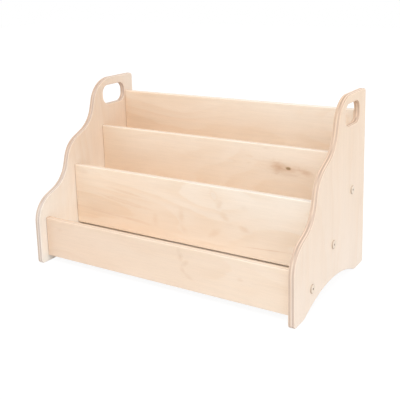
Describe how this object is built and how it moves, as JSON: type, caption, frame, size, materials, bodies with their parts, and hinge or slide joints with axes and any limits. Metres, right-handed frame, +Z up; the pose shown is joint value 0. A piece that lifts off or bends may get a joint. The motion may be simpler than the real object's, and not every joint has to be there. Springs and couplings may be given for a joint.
{
  "type": "picture book browser bin",
  "caption": "Tabletop birch plywood picture book browser with stepped open trays between wave-fronted sides that have hand holes and arched feet.",
  "frame": {"origin": "on the table under the middle of the unit, midway between the outer faces of the sides and midway between their front and back edges", "axes": "+X to the right across the width as seen from the front, +Y from the front to the back, +Z up"},
  "size_m": [0.6044, 0.3344, 0.367],
  "materials": {
    "side_plywood": "natural birch plywood, clear satin lacquer, bare laminated edges",
    "front_rail_plywood": "natural birch plywood with the grain along the board, clear satin lacquer",
    "front_divider_plywood": "natural birch plywood with the grain along the board, clear satin lacquer",
    "rear_divider_plywood": "natural birch plywood with the grain along the board, clear satin lacquer",
    "back_panel_plywood": "natural birch plywood with the grain along the board, clear satin lacquer",
    "floor_plywood": "natural birch plywood with the grain along the board, clear satin lacquer",
    "dowel_beech": "raw beech",
    "bolt_steel": "nickel plated, lightly brushed head",
    "nut_steel": "zinc plated"
  },
  "bodies": {
    "root": {"left_side_panel": "side_plywood", "right_side_panel": "side_plywood", "front_rail": "front_rail_plywood", "front_divider": "front_divider_plywood", "rear_divider": "rear_divider_plywood", "back_panel": "back_panel_plywood", "front_tray_floor": "floor_plywood", "front_floor_bolts": "bolt_steel", "front_barrel_nuts": "nut_steel", "middle_tray_floor": "floor_plywood", "middle_floor_bolts": "bolt_steel", "middle_barrel_nuts": "nut_steel", "rear_tray_floor": "floor_plywood", "rear_floor_bolts": "bolt_steel", "rear_barrel_nuts": "nut_steel", "front_rail_dowels": "dowel_beech", "front_divider_dowels": "dowel_beech", "rear_divider_dowels": "dowel_beech", "back_panel_dowels": "dowel_beech"}
  },
  "joints": []
}
